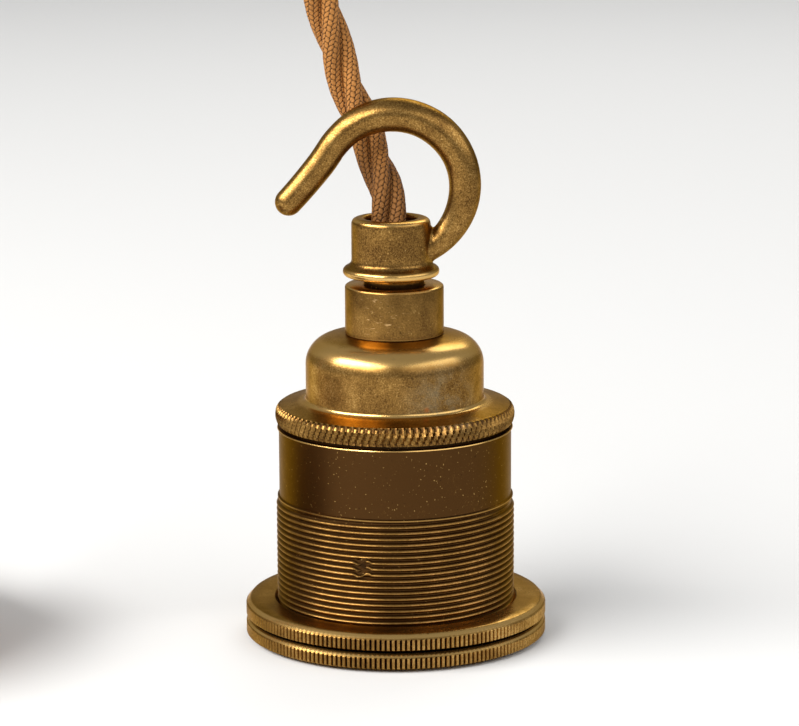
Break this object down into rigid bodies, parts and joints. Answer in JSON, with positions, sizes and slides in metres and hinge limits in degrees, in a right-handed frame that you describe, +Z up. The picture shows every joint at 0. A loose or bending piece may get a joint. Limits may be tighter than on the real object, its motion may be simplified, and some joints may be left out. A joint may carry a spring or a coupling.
{
  "type": "lamp holder",
  "caption": "Aged brass screw lamp holder with a cast hook, domed cap, threaded skirt, clamping shade rings and a twisted braided flex.",
  "frame": {"origin": "middle of the skirt's lower rim, on the surface that the holder stands on", "axes": "+Z up along the holder's axis; the hook lies in the XZ plane and its tip points to -X"},
  "size_m": [0.166, 0.0746, 0.1463],
  "materials": {
    "aged_brass": "aged, satin",
    "ring_brass": "aged, satin, knurled edge",
    "bright_brass": "bright turned",
    "porcelain": "glazed white porcelain, opaque",
    "plated_brass": "rolled, nickel plated",
    "screw_steel": "zinc plated",
    "braid": "woven braid",
    "brown_insulation": "smooth",
    "blue_insulation": "smooth",
    "green_insulation": "smooth, striped",
    "copper": "tinned strands",
    "tie": "woven tape"
  },
  "bodies": {
    "holder": {"casing_skirt": "aged_brass", "cap_dome": "aged_brass", "neck_bush": "aged_brass", "hook": "aged_brass", "porcelain_base": "porcelain", "porcelain_ring": "porcelain", "screw_shell": "plated_brass", "shell_flange": "plated_brass", "live_terminal": "bright_brass", "neutral_terminal": "bright_brass", "earth_terminal": "bright_brass", "live_screw": "screw_steel", "neutral_screw": "screw_steel", "earth_screw": "screw_steel", "shell_screws": "screw_steel", "shell_nuts": "screw_steel", "live_core": "brown_insulation", "neutral_core": "blue_insulation", "earth_core": "green_insulation", "cord_tube": "braid", "cord_coil": "braid", "cord_tie": "tie", "end_core_live": "brown_insulation", "end_core_neutral": "blue_insulation", "end_core_earth": "green_insulation", "end_wires": "copper"},
    "lower_ring": {"shade_ring_lower": "ring_brass"},
    "upper_ring": {"shade_ring_upper": "ring_brass"},
    "contact": {"centre_contact": "bright_brass"}
  },
  "joints": [
    {"name": "lower_ring_slide", "type": "slide", "parent": "holder", "child": "lower_ring", "axis": [0, 0, 1], "range_m": [-0.0025, 0]},
    {"name": "upper_ring_slide", "type": "slide", "parent": "holder", "child": "upper_ring", "axis": [0, 0, 1], "range_m": [0, 0.017]},
    {"name": "contact_spring", "type": "hinge", "parent": "holder", "child": "contact", "pos_m": [0.0095, 0, 0.03175], "axis": [0, 1, 0], "range_deg": [0, 9], "stiffness_Nm_per_rad": 0.15}
  ]
}
